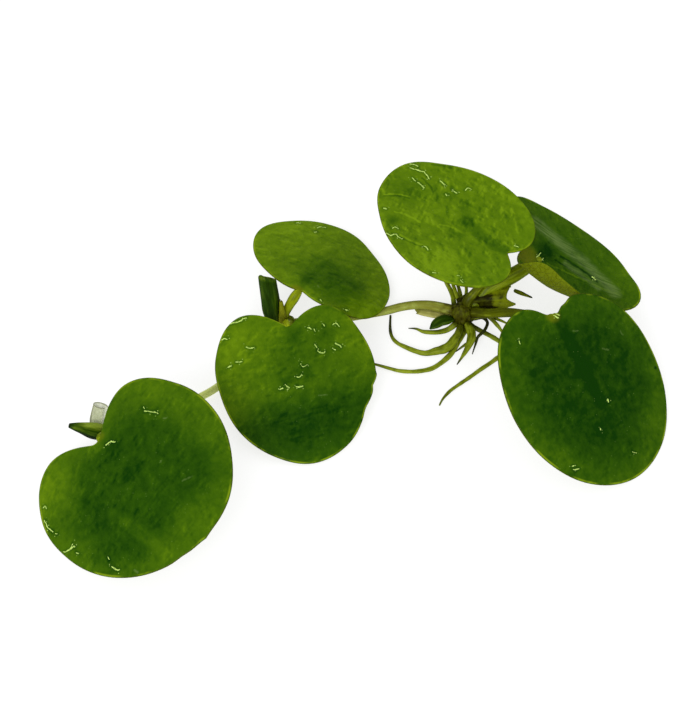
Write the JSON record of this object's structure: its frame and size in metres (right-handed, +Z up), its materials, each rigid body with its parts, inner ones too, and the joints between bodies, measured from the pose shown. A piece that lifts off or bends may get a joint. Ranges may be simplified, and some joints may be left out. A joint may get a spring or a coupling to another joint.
{
  "type": "amazon frogbit plant",
  "caption": "Floating water plant with round notched leaves on short stalks, runners to daughter plantlets and curling roots, lying on a surface.",
  "frame": {"origin": "foot of the mother crown, where it rests on the surface", "axes": "+Z up, -X along the runners from the mother plant towards the plantlets, +Y to the back"},
  "size_m": [0.0853, 0.0621, 0.0156],
  "materials": {
    "leaf": "glossy, waxy, wet",
    "young_leaf": "glossy, waxy, wet",
    "stalk": "smooth, wet",
    "runner": "smooth, wet, slightly translucent",
    "root": "smooth, wet",
    "crown": "dull, wet",
    "sheath": "thin, translucent, wet",
    "bract": "thin, papery, wet"
  },
  "bodies": {
    "root": {"crown_mother": "crown", "crown_second": "crown", "crown_third": "crown", "leaf_mother_top": "leaf", "leaf_mother_back": "leaf", "leaf_mother_front": "leaf", "leaf_second_front": "leaf", "leaf_second_back": "leaf", "leaf_third": "leaf", "stalk_mother_top": "stalk", "stalk_mother_back": "stalk", "stalk_mother_front": "stalk", "stalk_second_front": "stalk", "stalk_second_back": "stalk", "stalk_third": "stalk", "runner_mother_to_second": "runner", "runner_second_to_third": "runner", "root_mother_left": "root", "root_mother_hook": "root", "root_mother_long": "root", "root_mother_middle": "root", "root_mother_dark": "root", "root_mother_crossing": "root", "root_mother_right": "root", "root_mother_right_back": "root", "root_mother_back_left": "root", "root_mother_back_high": "root", "root_mother_back": "root", "root_mother_back_right": "root", "root_second_left": "root", "root_second_right": "root", "root_third_right": "root", "root_third_back": "root", "rolled_leaf_second": "young_leaf", "rolled_leaf_third": "young_leaf", "bud_leaf": "young_leaf", "bract": "bract", "sheath_shred": "sheath", "sheath_mother": "sheath", "sheath_second": "sheath", "sheath_third": "sheath"}
  },
  "joints": []
}
